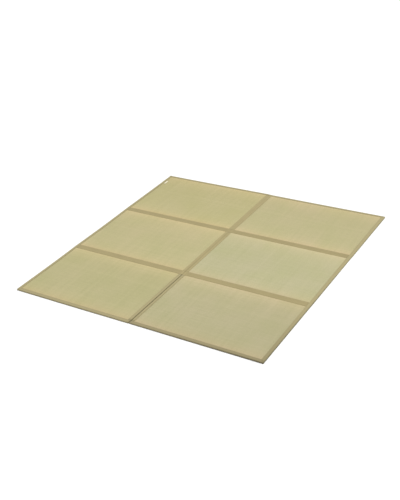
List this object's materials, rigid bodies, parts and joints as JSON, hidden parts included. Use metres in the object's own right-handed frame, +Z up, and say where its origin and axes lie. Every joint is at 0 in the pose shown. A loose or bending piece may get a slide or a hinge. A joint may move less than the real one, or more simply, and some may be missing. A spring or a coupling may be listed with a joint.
{
  "type": "folding tatami mat",
  "caption": "Flat square floor mat of thin rush-covered panels joined by cloth hinge tapes, bound round the rim, slit between its front panels so that it folds up.",
  "frame": {"origin": "on the floor, under the middle of the mat", "axes": "+X to the right along the front edge, +Y to the back along the centre seam, +Z up out of the floor; the slit is in the front (-Y) half of the centre seam"},
  "size_m": [1.803, 1.8075, 0.013],
  "materials": {
    "rush_green": "woven rush, faintly green, soft sheen along the strands",
    "rush_straw": "woven rush, a little more straw-coloured, soft sheen along the strands",
    "binding": "matt plain-woven binding cloth, khaki",
    "hinge": "matt plain-woven tape, khaki, a little lighter than the binding",
    "label": "plain off-white ribbon, blank"
  },
  "bodies": {
    "root": {"panel_front_left": "rush_green", "panel_front_right": "rush_green", "panel_middle_left": "rush_straw", "panel_middle_right": "rush_straw", "panel_back_left": "rush_straw", "panel_back_right": "rush_straw", "binding_left": "binding", "binding_right": "binding", "binding_back": "binding", "binding_front_left": "binding", "binding_front_right": "binding", "binding_slit_left": "binding", "binding_slit_right": "binding", "hinge_front": "hinge", "hinge_back": "hinge", "hinge_centre_middle": "hinge", "hinge_centre_back": "hinge", "label": "label"}
  },
  "joints": []
}
